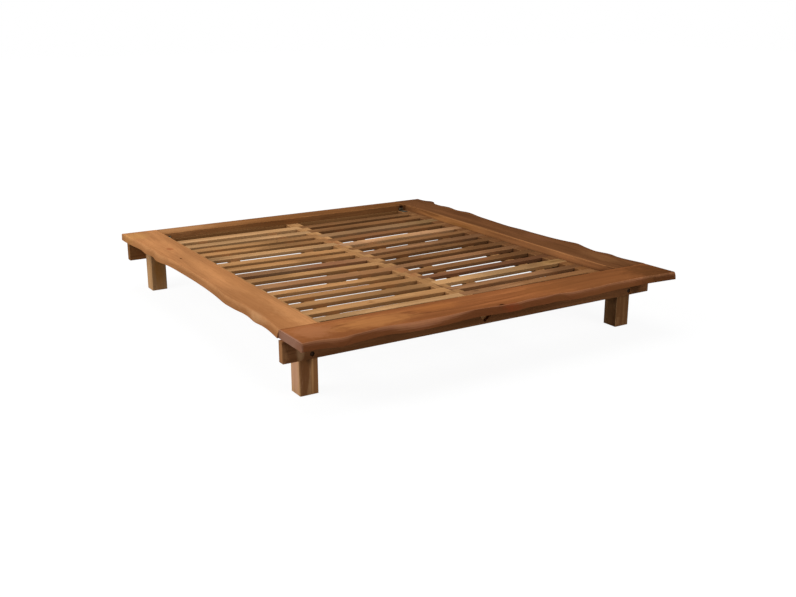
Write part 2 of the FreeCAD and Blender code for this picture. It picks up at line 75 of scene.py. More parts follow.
class Tree:
    """Short calls for the nodes of one material or node group."""

    def __init__(self, tree):
        self.tree = tree

    def put(self, kind, **settings):
        made = self.tree.nodes.new(kind)
        for key, value in settings.items():
            setattr(made, key, value)
        return made

    def feed(self, socket, value):
        if isinstance(value, bpy.types.NodeSocket):
            self.tree.links.new(value, socket)
        elif value is not None:
            socket.default_value = value

    def math(self, operation, a, b=None, c=None):
        made = self.put("ShaderNodeMath", operation=operation)
        for socket, value in zip(made.inputs, (a, b, c)):
            self.feed(socket, value)
        return made.outputs[0]

    def vector(self, operation, a, b=None, scale=None):
        made = self.put("ShaderNodeVectorMath", operation=operation)
        self.feed(made.inputs[0], a)
        if b is not None:
            self.feed(made.inputs[1], b)
        if scale is not None:
            self.feed(made.inputs["Scale"], scale)
        return made.outputs["Value" if operation == "LENGTH" else "Vector"]

    def split(self, vector):
        made = self.put("ShaderNodeSeparateXYZ")
        self.feed(made.inputs[0], vector)
        return made.outputs

    def join(self, x, y, z):
        made = self.put("ShaderNodeCombineXYZ")
        for socket, value in zip(made.inputs, (x, y, z)):
            self.feed(socket, value)
        return made.outputs[0]

    def noise(self, place, waves, detail, rough, seed=None, colour=False):
        """A noise of so many waves per metre, the same all round or one number for each axis."""
        if isinstance(waves, tuple):
            place = self.vector("MULTIPLY", place, waves)
            waves = 1.0
        made = self.put("ShaderNodeTexNoise", noise_dimensions="3D" if seed is None else "4D")
        self.feed(made.inputs["Vector"], place)
        self.feed(made.inputs["Scale"], waves)
        self.feed(made.inputs["Detail"], detail)
        self.feed(made.inputs["Roughness"], rough)
        if seed is not None:
            self.feed(made.inputs["W"], seed)
        return made.outputs["Color" if colour else "Fac"]

    def noise_line(self, value, waves, detail, rough):
        made = self.put("ShaderNodeTexNoise", noise_dimensions="1D")
        self.feed(made.inputs["W"], value)
        self.feed(made.inputs["Scale"], waves)
        self.feed(made.inputs["Detail"], detail)
        self.feed(made.inputs["Roughness"], rough)
        return made.outputs["Fac"]

    def ramp(self, value, low, high, to_low=0.0, to_high=1.0):
        """A soft step: low gives to_low and high gives to_high."""
        made = self.put("ShaderNodeMapRange", interpolation_type="SMOOTHSTEP")
        for socket, given in zip(made.inputs, (value, low, high, to_low, to_high)):
            self.feed(socket, given)
        return made.outputs[0]

    def mix(self, factor, a, b, blend="MIX"):
        made = self.put("ShaderNodeMix", data_type="RGBA", blend_type=blend)
        self.feed(made.inputs["Factor"], factor)
        self.feed(made.inputs[MIX_FIRST], a)
        self.feed(made.inputs[MIX_SECOND], b)
        return made.outputs[MIX_RESULT]


def new_group(name, inputs, outputs):
    """A node group with named sockets; values given are the defaults."""
    group = bpy.data.node_groups.new(name, "ShaderNodeTree")
    kinds = {"value": "NodeSocketFloat", "vector": "NodeSocketVector", "colour": "NodeSocketColor"}
    for label, kind, default in inputs:
        made = group.interface.new_socket(name=label, in_out="INPUT", socket_type=kinds[kind])
        if default is not None:
            made.default_value = default
    for label, kind in outputs:
        group.interface.new_socket(name=label, in_out="OUTPUT", socket_type=kinds[kind])
    tree = Tree(group)
    entry = tree.put("NodeGroupInput")
    exit_node = tree.put("NodeGroupOutput")
    return group, tree, entry.outputs, exit_node.inputs


def use_group(tree, group, **values):
    """Places a group in a tree; an underscore in a name stands for a space."""
    made = tree.put("ShaderNodeGroup", node_tree=group)
    for key, value in values.items():
        tree.feed(made.inputs[key.replace("_", " ")], value)
    return made.outputs


def linear(red, green, blue):
    """Linear colour from the sRGB values of a screen, from 0 to 255."""
    def one(value):
        value = value / 255
        return value / 12.92 if value <= 0.04045 else ((value + 0.055) / 1.055) ** 2.4
    return (one(red), one(green), one(blue), 1.0)


# Effects that the timbers share

# A noise swings about this value
NOISE_MIDDLE = 0.5


def swing(t, place, waves, rough, seed=None):
    """A noise in three directions that swings about zero."""
    cloud = t.noise(place, waves, detail=2.0, rough=rough, seed=seed, colour=True)
    return t.vector("SUBTRACT", cloud, (NOISE_MIDDLE,) * 3)


# Waves per metre of each kind of grain, along the log and twice across it
DRIFT_WAVES = (0.9, 2.6, 2.6)
RIPPLE_WAVES = (5.0, 22.0, 22.0)
STREAK_WAVES = (0.8, 17.0, 17.0)
FIBRE_WAVES = (9.0, 420.0, 420.0)
PORE_WAVES = (38.0, 900.0, 900.0)
PATCH_WAVES = (1.5, 7.0, 7.0)
# How far the ripple bends the grain, in metres
RIPPLE_REACH = 0.004
# Waves per ring of the broad bands and of the strength of the late wood
BAND_WAVES = 0.33
STRENGTH_WAVES = 0.9
# Shares of a ring: where its late wood starts and is full, and where it stops
LATE_WOOD = (0.45, 0.97)
RING_END = (1.0, 0.95)
# The noise from which the late wood shows, and at which it is full; the same for pores
STRENGTH_RANGE = (0.35, 0.7)
PORE_RANGE = (0.62, 0.72)
LATE_SHARE = 0.45
BAND_SHARE = 0.9


def log_grain():
    """A board as it is cut from a log whose pith runs along X through zero.

    Ring is the band of light and dark wood, Streak the broad change of tone
    along the grain, Fibre the fine lines and Pore the short open vessels.
    """
    group, t, given, out = new_group("log grain", (
        ("Vector", "vector", None), ("Ring Width", "value", 0.006), ("Wander", "value", 0.03),
        ("Swell", "value", 0.0), ("Seed", "value", 0.0),
    ), (("Ring", "value"), ("Streak", "value"), ("Fibre", "value"), ("Pore", "value")))
    place = given["Vector"]
    drift = swing(t, place, DRIFT_WAVES, rough=0.45, seed=given["Seed"])
    bent = t.vector("ADD", place, t.vector("SCALE", drift, scale=given["Wander"]))
    ripple = swing(t, place, RIPPLE_WAVES, rough=0.5, seed=given["Seed"])
    bent = t.vector("ADD", bent, t.vector("SCALE", ripple, scale=RIPPLE_REACH))
    _, y, z = t.split(bent)
    radius = t.vector("LENGTH", t.join(0.0, y, z))
    radius = t.math("ADD", radius, given["Swell"])
    turn = t.math("DIVIDE", radius, given["Ring Width"])
    shifted = t.math("ADD", turn, given["Seed"])
    broad = t.noise_line(shifted, BAND_WAVES, detail=2.0, rough=0.6)
    saw = t.math("FRACT", shifted)
    late = t.ramp(saw, *LATE_WOOD)
    late = t.math("MULTIPLY", late, t.ramp(saw, *RING_END))
    strength = t.noise_line(shifted, STRENGTH_WAVES, detail=1.0, rough=0.5)
    late = t.math("MULTIPLY", late, t.ramp(strength, *STRENGTH_RANGE))
    band = t.math("MULTIPLY", broad, BAND_SHARE)
    t.feed(out["Ring"], t.math("MULTIPLY_ADD", late, LATE_SHARE, band))
    streak = t.noise(bent, STREAK_WAVES, detail=3.0, rough=0.6, seed=given["Seed"])
    t.feed(out["Streak"], streak)
    fibre = t.noise(bent, FIBRE_WAVES, detail=3.0, rough=0.7)
    t.feed(out["Fibre"], fibre)
    vessel = t.noise(bent, PORE_WAVES, detail=1.0, rough=0.5)
    t.feed(out["Pore"], t.ramp(vessel, *PORE_RANGE))
    return group


KNOT_WAVES = 45.0
# Shares of a knot's radius: how ragged it is, and from where to where its core and halo fade in
KNOT_WOBBLE = 0.7
CORE_FADE = (1.0, 0.55)
HALO_FADE = (2.6, 0.6)
# The push on the rings: the bell's exponent and the height of the bell, as a share of the radius
BELL_FALL = -0.35
BELL_HEIGHT = 0.8


def knot():
    """One knot: Core is its dark heart, Halo the ring round it and Swell its push on the grain."""
    group, t, given, out = new_group("knot", (
        ("Vector", "vector", None), ("Place", "vector", None), ("Shape", "vector", (1.0, 1.0, 1.0)),
        ("Radius", "value", 0.02),
    ), (("Core", "value"), ("Halo", "value"), ("Swell", "value")))
    away = t.vector("SUBTRACT", given["Vector"], given["Place"])
    wobble = t.math("MULTIPLY", given["Radius"], KNOT_WOBBLE)
    ragged = swing(t, given["Vector"], KNOT_WAVES, rough=0.5)
    away = t.vector("ADD", away, t.vector("SCALE", ragged, scale=wobble))
    reach = t.vector("LENGTH", t.vector("MULTIPLY", away, given["Shape"]))
    share = t.math("DIVIDE", reach, given["Radius"])
    t.feed(out["Core"], t.ramp(share, *CORE_FADE))
    t.feed(out["Halo"], t.ramp(share, *HALO_FADE))
    bell = t.math("EXPONENT", t.math("MULTIPLY", t.math("MULTIPLY", share, share), BELL_FALL))
    height = t.math("MULTIPLY", given["Radius"], BELL_HEIGHT)
    t.feed(out["Swell"], t.math("MULTIPLY", bell, height))
    return group


# From where to where the light streaks and the dark rings show
LIGHT_RANGE = (0.36, 0.66)
DARK_RANGE = (0.40, 0.85)
# Two values of the noise, and what the tone is multiplied by at each
PATCH_TONES = (0.35, 0.68, 0.86, 1.12)
FIBRE_TONES = (0.3, 0.7, 0.9, 1.07)
PORE_DARKENS = 0.45
HALO_DARKENS = 0.5
# Two values of the fibre, and the roughness at each
FIBRE_ROUGHNESS = (0.2, 0.8, 0.52, 0.64)
PORE_ROUGHNESS = 0.12
# What each adds to the height of the surface
FIBRE_HEIGHT = 0.35
PORE_HEIGHT = -0.8
RING_HEIGHT = -0.25
CORE_HEIGHT = -0.5


def oiled_wood():
    """Colour, roughness and height of oiled timber from the grain's values."""
    group, t, given, out = new_group("oiled wood", (
        ("Vector", "vector", None),
        ("Ring", "value", 0.5), ("Streak", "value", 0.5), ("Fibre", "value", 0.5), ("Pore", "value", 0.0),
        ("Core", "value", 0.0), ("Halo", "value", 0.0), ("Seed", "value", 0.0),
        ("Light", "colour", (0.4, 0.2, 0.1, 1)), ("Middle", "colour", (0.3, 0.15, 0.07, 1)),
        ("Dark", "colour", (0.1, 0.05, 0.02, 1)), ("Knot", "colour", (0.03, 0.015, 0.008, 1)),
        ("Figure", "value", 0.6), ("Streaks", "value", 0.5),
    ), (("Color", "colour"), ("Roughness", "value"), ("Height", "value")))
    band = t.ramp(given["Streak"], *LIGHT_RANGE)
    tone = t.mix(t.math("MULTIPLY", band, given["Streaks"]), given["Middle"], given["Light"])
    ring = t.ramp(given["Ring"], *DARK_RANGE)
    tone = t.mix(t.math("MULTIPLY", ring, given["Figure"]), tone, given["Dark"])
    patch = t.noise(given["Vector"], PATCH_WAVES, detail=3.0, rough=0.55, seed=given["Seed"])
    patch = t.ramp(patch, *PATCH_TONES)
    tone = t.mix(1.0, tone, t.join(patch, patch, patch), "MULTIPLY")
    fine = t.ramp(given["Fibre"], *FIBRE_TONES)
    tone = t.mix(1.0, tone, t.join(fine, fine, fine), "MULTIPLY")
    tone = t.mix(t.math("MULTIPLY", given["Pore"], PORE_DARKENS), tone, given["Dark"])
    tone = t.mix(t.math("MULTIPLY", given["Halo"], HALO_DARKENS), tone, given["Dark"])
    t.feed(out["Color"], t.mix(given["Core"], tone, given["Knot"]))
    rough = t.ramp(given["Fibre"], *FIBRE_ROUGHNESS)
    rough = t.math("ADD", rough, t.math("MULTIPLY", given["Pore"], PORE_ROUGHNESS))
    t.feed(out["Roughness"], rough)
    height = t.math("MULTIPLY", given["Pore"], PORE_HEIGHT)
    height = t.math("MULTIPLY_ADD", given["Fibre"], FIBRE_HEIGHT, height)
    height = t.math("MULTIPLY_ADD", given["Ring"], RING_HEIGHT, height)
    height = t.math("MULTIPLY_ADD", given["Core"], CORE_HEIGHT, height)
    t.feed(out["Height"], height)
    return group


WEAR_AND_HIGHLIGHT_WAVES = 24.0
# Two values of the noise, and how much of the worn edge and its painted highlight shows at each
WEAR_AND_HIGHLIGHT_PATCHES = (0.3, 0.6, 0.35, 1.0)
# A noise that roughens the border between an upright face and a lean
BORDER_WAVES = (9.0, 9.0, 60.0)
BORDER_REACH = 0.3
BORDER_SHIFT = -0.15
# Upward parts of the normal: where the lean starts and stops, and where an upright face starts
LEAN_START = (0.12, 0.4)
LEAN_STOP = (0.97, 0.85)
SIDE_START = (0.7, 0.25)


def worn_and_highlit_arris():
    """Masks from the way the surface faces.

    Mask is an eased edge, which faces no main direction, where wear and a painted
    highlight go, Lean the leaning part of a live edge and Side an upright face.
    """
    group, t, given, out = new_group("worn and highlit arris", (
        ("Vector", "vector", None), ("Low", "value", 0.985), ("High", "value", 0.9),
    ), (("Mask", "value"), ("Lean", "value"), ("Side", "value")))
    normal = t.put("ShaderNodeNewGeometry").outputs["Normal"]
    x, y, z = t.split(normal)
    flat = t.math("MAXIMUM", t.math("ABSOLUTE", x), t.math("ABSOLUTE", y))
    flat = t.math("MAXIMUM", flat, t.math("ABSOLUTE", z))
    mask = t.ramp(flat, given["Low"], given["High"])
    patchy = t.noise(given["Vector"], WEAR_AND_HIGHLIGHT_WAVES, detail=3.0, rough=0.6)
    t.feed(out["Mask"], t.math("MULTIPLY", mask, t.ramp(patchy, *WEAR_AND_HIGHLIGHT_PATCHES)))
    wavy = t.noise(given["Vector"], BORDER_WAVES, detail=3.0, rough=0.6)
    wavy = t.math("MULTIPLY_ADD", wavy, BORDER_REACH, BORDER_SHIFT)
    steep = t.math("ADD", t.math("ABSOLUTE", z), wavy)
    t.feed(out["Lean"], t.math("MULTIPLY", t.ramp(steep, *LEAN_START), t.ramp(z, *LEAN_STOP)))
    t.feed(out["Side"], t.ramp(steep, *SIDE_START))
    return group


FRAY_WAVES = 38.0
FRAY_REACH = 2.0
# Shares of a stain's radius from where to where it fades in
STAIN_FADE = (1.15, 0.35)


def stain():
    """A soft patch of other colour with a ragged edge."""
    group, t, given, out = new_group("stain", (
        ("Vector", "vector", None), ("Place", "vector", None), ("Shape", "vector", (1.0, 1.0, 1.0)),
        ("Radius", "value", 0.05), ("Ragged", "value", 0.7),
    ), (("Mask", "value"),))
    away = t.vector("MULTIPLY", t.vector("SUBTRACT", given["Vector"], given["Place"]), given["Shape"])
    share = t.math("DIVIDE", t.vector("LENGTH", away), given["Radius"])
    shaped = t.vector("MULTIPLY", given["Vector"], given["Shape"])
    fray = t.noise(shaped, FRAY_WAVES, detail=4.0, rough=0.65)
    fray = t.math("MULTIPLY", t.math("SUBTRACT", fray, NOISE_MIDDLE), given["Ragged"])
    share = t.math("ADD", share, t.math("MULTIPLY", fray, FRAY_REACH))
    t.feed(out["Mask"], t.ramp(share, *STAIN_FADE))
    return group


LOG = log_grain()
KNOT = knot()
OILED = oiled_wood()
ARRIS = worn_and_highlit_arris()
STAIN = stain()

# The turn that brings a timber's own axis to X, where the log's pith runs
ALONG = {
    "x": Euler((0.0, 0.0, 0.0)),
    "y": Euler((0.0, 0.0, -math.pi / 2)),
    "z": Euler((0.0, math.pi / 2, 0.0)),
}
KNOT_TONE = (44, 22, 11)
# Keeps the patches of tone apart from the rings, which have the seed itself
PATCH_SEED_SHIFT = 3.7
# How the painted shade of upright faces, the tone of a lean and a stain follow the streaks: from, to,
# least and full
SIDE_FOLLOWS = (0.25, 0.6, 0.55, 1.0)
STAIN_FOLLOWS = (0.2, 0.55, 0.6, 1.0)


def laid_in_log(t, coordinates, grain, pith):
    """The coordinates with the grain along X and the pith at zero."""
    turn = ALONG[grain]
    mapping = t.put("ShaderNodeMapping", vector_type="POINT")
    t.feed(mapping.inputs["Vector"], coordinates)
    mapping.inputs["Rotation"].default_value = turn
    mapping.inputs["Location"].default_value = -(turn.to_matrix() @ Vector(pith))
    return mapping.outputs[0]


def joined_knots(t, coordinates, knots):
    """Swell, core and halo of all the knots together, each None without knots."""
    swell, core, halo = None, None, None
    for place, radius, shape in knots:
        found = use_group(t, KNOT, Vector=coordinates, Place=place, Radius=radius, Shape=shape)
        if core is None:
            swell, core, halo = found["Swell"], found["Core"], found["Halo"]
        else:
            swell = t.math("ADD", swell, found["Swell"])
            core = t.math("MAXIMUM", core, found["Core"])
            halo = t.math("MAXIMUM", halo, found["Halo"])
    return swell, core, halo


def stained(t, coordinates, streak, colour, stains):
    """The colour under all the stains, each of which follows the streaks a little."""
    for place, radius, shape, tone, amount in stains:
        found = use_group(t, STAIN, Vector=coordinates, Place=place, Radius=radius, Shape=shape)
        strong = t.math("MULTIPLY", found["Mask"], amount)
        grainy = t.math("MULTIPLY", strong, t.ramp(streak, *STAIN_FOLLOWS))
        colour = t.mix(grainy, colour, linear(*tone))
    return colour


def finish_material(tree, colour, roughness, height, strength=0.25, depth=0.0006, gloss=0.0):
    """Ends a material in a Principled shader with a bump of this depth in metres."""
    shader = tree.put("ShaderNodeBsdfPrincipled")
    bump = tree.put("ShaderNodeBump")
    bump.inputs["Strength"].default_value = strength
    bump.inputs["Distance"].default_value = depth
    tree.feed(bump.inputs["Height"], height)
    tree.feed(shader.inputs["Base Color"], colour)
    tree.feed(shader.inputs["Roughness"], roughness)
    tree.feed(shader.inputs["Normal"], bump.outputs[0])
    shader.inputs["Specular IOR Level"].default_value = gloss
    result = tree.put("ShaderNodeOutputMaterial")
    tree.feed(result.inputs[0], shader.outputs[0])
    return shader


def new_material(name):
    material = bpy.data.materials.new(name)
    material.use_nodes = True
    material.node_tree.nodes.clear()
    return material, Tree(material.node_tree)


def wood(name, grain, pith, tones, seed, ring=0.006, wander=0.05, figure=0.6, streaks=0.7,
         knots=(), stains=(), arris=None, arris_amount=0.35, side=None, side_shade_amount=0.0,
         lean=None, lean_amount=0.0):
    """Timber of one piece: grain is its axis and pith a point on the log's pith.

    tones are its light, middle and dark wood; a knot is (place, radius, shape)
    and a stain (place, radius, shape, tone, amount). arris is the tone of its
    eased edges, worn and painted lighter as a highlight, side is painted shade on
    its upright faces and lean the tone of the leaning part of a live edge.
    """
    material, t = new_material(name)
    coordinates = t.put("ShaderNodeTexCoord").outputs["Object"]
    log = laid_in_log(t, coordinates, grain, pith)
    swell, core, halo = joined_knots(t, coordinates, knots)
    grains = use_group(t, LOG, Vector=log, Ring_Width=ring, Wander=wander, Swell=swell, Seed=seed)
    light, middle, dark = (linear(*tone) for tone in tones)
    look = use_group(
        t, OILED, Vector=log, Ring=grains["Ring"], Streak=grains["Streak"], Fibre=grains["Fibre"],
        Pore=grains["Pore"], Core=core, Halo=halo, Seed=seed + PATCH_SEED_SHIFT, Light=light,
        Middle=middle, Dark=dark, Knot=linear(*KNOT_TONE), Figure=figure, Streaks=streaks,
    )
    worn = use_group(t, ARRIS, Vector=coordinates)
    colour = look["Color"]
    # Upright faces take the side tone, which is painted shade; a lean takes its own tone
    for tone, amount, mask in ((side, side_shade_amount, "Side"), (lean, lean_amount, "Lean")):
        if tone is not None:
            streaky = t.math("MULTIPLY", worn[mask], t.ramp(grains["Streak"], *SIDE_FOLLOWS))
            colour = t.mix(t.math("MULTIPLY", streaky, amount), colour, linear(*tone))
    colour = stained(t, coordinates, grains["Streak"], colour, stains)
    # Eased edges lighter: wear and a painted highlight
    edge = linear(*arris) if arris else light
    colour = t.mix(t.math("MULTIPLY", worn["Mask"], arris_amount), colour, edge)
    finish_material(t, colour, look["Roughness"], look["Height"])
    return material


def dress(node, material):
    """Gives a CAD node this material in every slot."""
    data = nodes[node].data
    data.materials.clear()
    data.materials.append(material)
    for polygon in data.polygons:
        polygon.material_index = 0


def dress_all(names, material):
    for name in names:
        dress(name, material)


# Timbers: the light, middle and dark wood of each

HONEY = ((196, 138, 88), (174, 119, 75), (140, 90, 52))
RUSSET = ((172, 108, 64), (142, 86, 49), (98, 54, 29))
WALNUT = ((126, 82, 50), (104, 66, 39), (70, 41, 22))
TAN = ((190, 144, 96), (168, 122, 78), (122, 80, 46))
PALE = ((206, 162, 116), (188, 144, 98), (142, 98, 62))
AMBER = ((190, 144, 98), (168, 123, 80), (124, 82, 48))
BROWN = ((156, 112, 73), (131, 91, 57), (90, 57, 33))
TAWNY = ((176, 130, 90), (152, 108, 73), (108, 72, 45))
OLIVE = ((168, 130, 94), (148, 112, 78), (108, 77, 48))
ROSY = ((152, 106, 74), (128, 86, 58), (92, 58, 36))
PEACH = ((214, 168, 126), (196, 148, 106), (150, 104, 70))
STRAW = ((206, 164, 116), (184, 140, 94), (138, 94, 56))
UMBER = ((138, 92, 58), (112, 72, 43), (70, 41, 22))
CHESTNUT = ((146, 98, 58), (124, 80, 44), (84, 50, 26))

# Heights of the marks, in the millimetres that well() takes
BOARD_TOP = 339
RAIL_TOP = 299
# Marks that are long along X or Y: a lower number is a longer mark
ALONG_X_SHAPE = (0.35, 1.0, 1.0)
ALONG_Y_SHAPE = (1.0, 0.3, 1.0)


# Boards

def left_board_wood():
    """Honey brown, with browner patches and a pale spot near the foot; its upright faces are darker,
    which is painted shade, and its eased edges lighter, with wear and a painted highlight.
    """
    knots = (
        (well(-1132, -581, BOARD_TOP), 0.009, (1.0, 0.6, 0.5)),
        (well(-1046, 420, BOARD_TOP), 0.006, (1.0, 0.5, 0.5)),
    )
    stains = (
        (well(-1020, 678, BOARD_TOP), 0.022, (1.0, 0.6, 1.0), (150, 82, 48), 0.7),
        (well(-1137, -811, BOARD_TOP), 0.045, ALONG_Y_SHAPE, (222, 176, 128), 0.6),
        (well(-1085, 1131, BOARD_TOP), 0.09, (1.0, 0.8, 1.0), (200, 150, 86), 0.4),
        (well(-1090, -1000, BOARD_TOP), 0.10, ALONG_Y_SHAPE, (148, 94, 54), 0.5),
        (well(-1060, -620, BOARD_TOP), 0.09, ALONG_Y_SHAPE, (150, 98, 58), 0.45),
        (well(-970, -200, BOARD_TOP), 0.05, (1.0, 0.1, 1.0), (156, 104, 62), 0.5),
    )
    return wood(
        "left_board_wood", "y", well(-1010, 0, 250), HONEY, seed=1.3, ring=0.011, wander=0.10,
        figure=0.3, streaks=0.6, arris=(204, 152, 104), arris_amount=0.2,
        side=(150, 100, 60), side_shade_amount=0.25, knots=knots, stains=stains,
    )


def right_board_wood():
    """Dark on top, with its face towards the well painted paler, which is painted light, and its eased
    edges lighter with wear and a painted highlight.
    """
    inner_face = 922
    stains = (
        # Painted light: the face towards the well paler along most of its length
        (well(inner_face, 500, 322), 0.030, (1.0, 0.04, 1.0), (178, 122, 72), 0.9),
        (well(inner_face, -500, 322), 0.030, (1.0, 0.04, 1.0), (166, 112, 70), 0.9),
        (well(inner_face, 760, 330), 0.016, (1.0, 0.12, 1.0), (124, 80, 44), 0.7),
        (well(inner_face, 420, 312), 0.014, (1.0, 0.08, 1.0), (136, 92, 48), 0.7),
        (well(inner_face, -60, 328), 0.014, (1.0, 0.08, 1.0), (140, 92, 54), 0.7),
        (well(inner_face, -650, 326), 0.016, (1.0, 0.10, 1.0), (178, 122, 76), 0.7),
        (well(1060, -250, BOARD_TOP), 0.05, ALONG_Y_SHAPE, (124, 80, 54), 0.5),
        (well(1080, 500, BOARD_TOP), 0.05, ALONG_Y_SHAPE, (92, 58, 36), 0.5),
        (well(1050, -850, BOARD_TOP), 0.06, ALONG_Y_SHAPE, (138, 94, 58), 0.5),
    )
    return wood(
        "right_board_wood", "y", well(1010, 0, 240), WALNUT, seed=7.9, ring=0.010, wander=0.12,
        figure=0.45, streaks=0.7, arris=(168, 114, 70), arris_amount=0.4, stains=stains,
    )


def foot_board_wood():
    """Reddish, with dark upright faces, partly the tone of the bark edge and partly painted shade, a dark
    right end and a red patch by the knot; a pale patch on its left end is painted light.
    """
    knots = ((well(-30, -1300, 335), 0.010, (0.6, 1.0, 0.5)),)
    stains = (
        (well(25, -1345, 325), 0.05, (0.6, 1.0, 1.0), (136, 62, 34), 0.75),
        (well(-700, -1200, BOARD_TOP), 0.09, ALONG_X_SHAPE, (190, 128, 74), 0.6),
        (well(-330, -1160, BOARD_TOP), 0.06, ALONG_X_SHAPE, (172, 108, 58), 0.55),
        (well(320, -1190, BOARD_TOP), 0.07, ALONG_X_SHAPE, (160, 98, 54), 0.5),
        (well(-1010, -1180, BOARD_TOP), 0.09, (0.8, 0.8, 1.0), (170, 112, 74), 0.6),
        (well(1080, -1230, BOARD_TOP), 0.16, (0.8, 0.8, 1.0), (74, 44, 23), 0.85),
        (well(700, -1180, BOARD_TOP), 0.20, ALONG_X_SHAPE, (122, 76, 42), 0.6),
        # Painted light: a pale patch on the left end
        (well(-1130, -1190, 320), 0.04, (3.0, 0.2, 0.6), (156, 116, 96), 0.85),
    )
    return wood(
        "foot_board_wood", "x", well(0, -1180, 235), RUSSET, seed=4.1, ring=0.010, wander=0.14,
        figure=0.5, streaks=0.65, arris=(176, 122, 82), arris_amount=0.3,
        side=(104, 58, 34), side_shade_amount=0.7, lean=(172, 116, 88), lean_amount=0.6,
        knots=knots, stains=stains,
    )


def head_board_wood():
    """Lighter on the left than on the right, with a knot near the right end."""
    knots = ((well(886, 1101, 329), 0.016, (0.8, 0.5, 1.0)),)
    stains = (
        (well(-500, 1180, BOARD_TOP), 0.10, ALONG_X_SHAPE, (148, 100, 60), 0.6),
        (well(-800, 1180, BOARD_TOP), 0.10, ALONG_X_SHAPE, (178, 128, 84), 0.7),
        (well(-400, 1099, 305), 0.012, (0.05, 1.0, 1.0), (150, 104, 62), 0.6),
        (well(300, 1180, BOARD_TOP), 0.10, ALONG_X_SHAPE, (112, 70, 38), 0.5),
        (well(700, 1180, BOARD_TOP), 0.08, ALONG_X_SHAPE, (100, 60, 30), 0.5),
    )
    return wood(
        "head_board_wood", "x", well(0, 1150, 240), CHESTNUT, seed=9.3, ring=0.009, wander=0.1,
        figure=0.45, streaks=0.9, knots=knots, stains=stains,
    )


dress("left_side_board", left_board_wood())
dress("right_side_board", right_board_wood())
dress("foot_board", foot_board_wood())
dress("head_board", head_board_wood())


# Rails, centre beam and legs

def foot_rail_wood():
    """Paler at its left end, which is painted light, and darker by the right leg."""
    stains = (
        # Painted light: the left end and the front beside it paler
        (well(-1052, -1138, 240), 0.03, (1.2, 1.0, 0.5), (176, 136, 98), 0.8),
        (well(-1140, -1120, 240), 0.05, (1.5, 1.0, 0.6), (168, 120, 80), 0.8),
        (well(1040, -1138, 235), 0.05, (1.0, 1.0, 0.8), (60, 36, 20), 0.6),
    )
    return wood("foot_rail_wood", "x", well(0, -1160, 190), UMBER, seed=12.1, figure=0.35, stains=stains)


def head_rail_wood():
    # Its upright faces take a darker tone: painted shade
    return wood(
        "head_rail_wood", "x", well(0, 1200, 190), TAN, seed=14.5, side=(108, 64, 28),
        side_shade_amount=0.75,
    )


def side_rail_wood():
    """Both side rails; the top of the right one is darker, and their upright faces take a darker tone,
    which is painted shade.
    """
    stains = (
        (well(900, 100, RAIL_TOP), 0.45, (1.0, 0.25, 1.0), (104, 66, 39), 0.9),
        (well(900, -900, RAIL_TOP), 0.15, (1.0, 0.5, 1.0), (130, 84, 46), 0.6),
    )
    return wood(
        "side_rail_wood", "y", well(0, 0, 150), TAN, seed=16.2, side=(126, 82, 48),
        side_shade_amount=0.5, stains=stains,
    )


def beam_wood():
    """Has a long dark mark near the foot, and its upright faces take a darker tone, which is painted
    shade.
    """
    stains = (
        (well(-5, -770, 289), 0.012, (1.0, 0.11, 1.0), (58, 30, 16), 0.85),
        (well(0, 500, 290), 0.05, ALONG_Y_SHAPE, (140, 84, 50), 0.6),
        (well(10, -350, 288), 0.05, ALONG_Y_SHAPE, (150, 92, 58), 0.6),
    )
    return wood(
        "beam_wood", "y", well(0, 0, 220), TAN, seed=18.8, figure=0.5, side=(140, 92, 54),
        side_shade_amount=0.4, stains=stains,
    )


def leg_wood():
    """Pale, but the foot legs are brown in front, which is painted shade, as are the head left leg's
    front, a patch at the top of the foot left front under the rail and the whole foot right leg under the
    bed; a pale patch low on the foot left leg's left face is painted light.
    """
    stains = (
        # Painted shade: the foot left leg's front brown, with a paler streak
        (well(-1018, -1104, 150), 0.055, (1.0, 3.0, 0.15), (112, 68, 36), 0.9),
        (well(-955, -1104, 150), 0.040, (1.0, 2.5, 0.10), (144, 95, 55), 0.9),
        (well(-974, -1102, 130), 0.007, (1.0, 1.0, 0.05), (196, 146, 96), 0.8),
        # Painted shadow at the top of that front, under the rail
        (well(-988, -1102, 200), 0.024, (1.0, 1.0, 0.4), (62, 34, 18), 0.7),
        # Painted light: a pale patch low on the foot left leg's left face
        (well(-1038, -1050, 90), 0.05, (1.0, 1.0, 0.4), (206, 156, 128), 0.7),
        # Painted shade: the foot right leg, under the bed, dark all over
        (well(993, -1055, 150), 0.16, (1.0, 1.0, 0.3), (98, 62, 34), 0.92),
        # Painted shade: the head left leg's front browner
        (well(-990, 1000, 150), 0.04, (1.0, 1.0, 0.2), (168, 114, 54), 0.85),
    )
    return wood(
        "leg_wood", "z", well(-960, -1020, 0), PALE, seed=21.4, ring=0.007, figure=0.45, streaks=0.8,
        stains=stains,
    )


dress("foot_rail", foot_rail_wood())
dress("head_rail", head_rail_wood())
dress_all(("left_side_rail", "right_side_rail"), side_rail_wood())
dress("centre_beam", beam_wood())
dress_all((
    "foot_left_leg", "foot_right_leg", "head_left_leg", "head_right_leg",
    "centre_foot_leg", "centre_head_leg",
), leg_wood())


# Slats

# They are sawn from mixed boards: their tones from head to foot
LEFT_SLATS = (
    PALE, PALE, TAN, TAN, PALE, TAN, TAN, TAWNY, TAN, TAWNY, TAN, TAN, TAN, TAN, PALE, PALE,
)
RIGHT_SLATS = (
    BROWN, BROWN, OLIVE, BROWN, PEACH, BROWN, TAWNY, BROWN,
    BROWN, TAWNY, BROWN, ROSY, STRAW, TAWNY, TAWNY, AMBER,
)
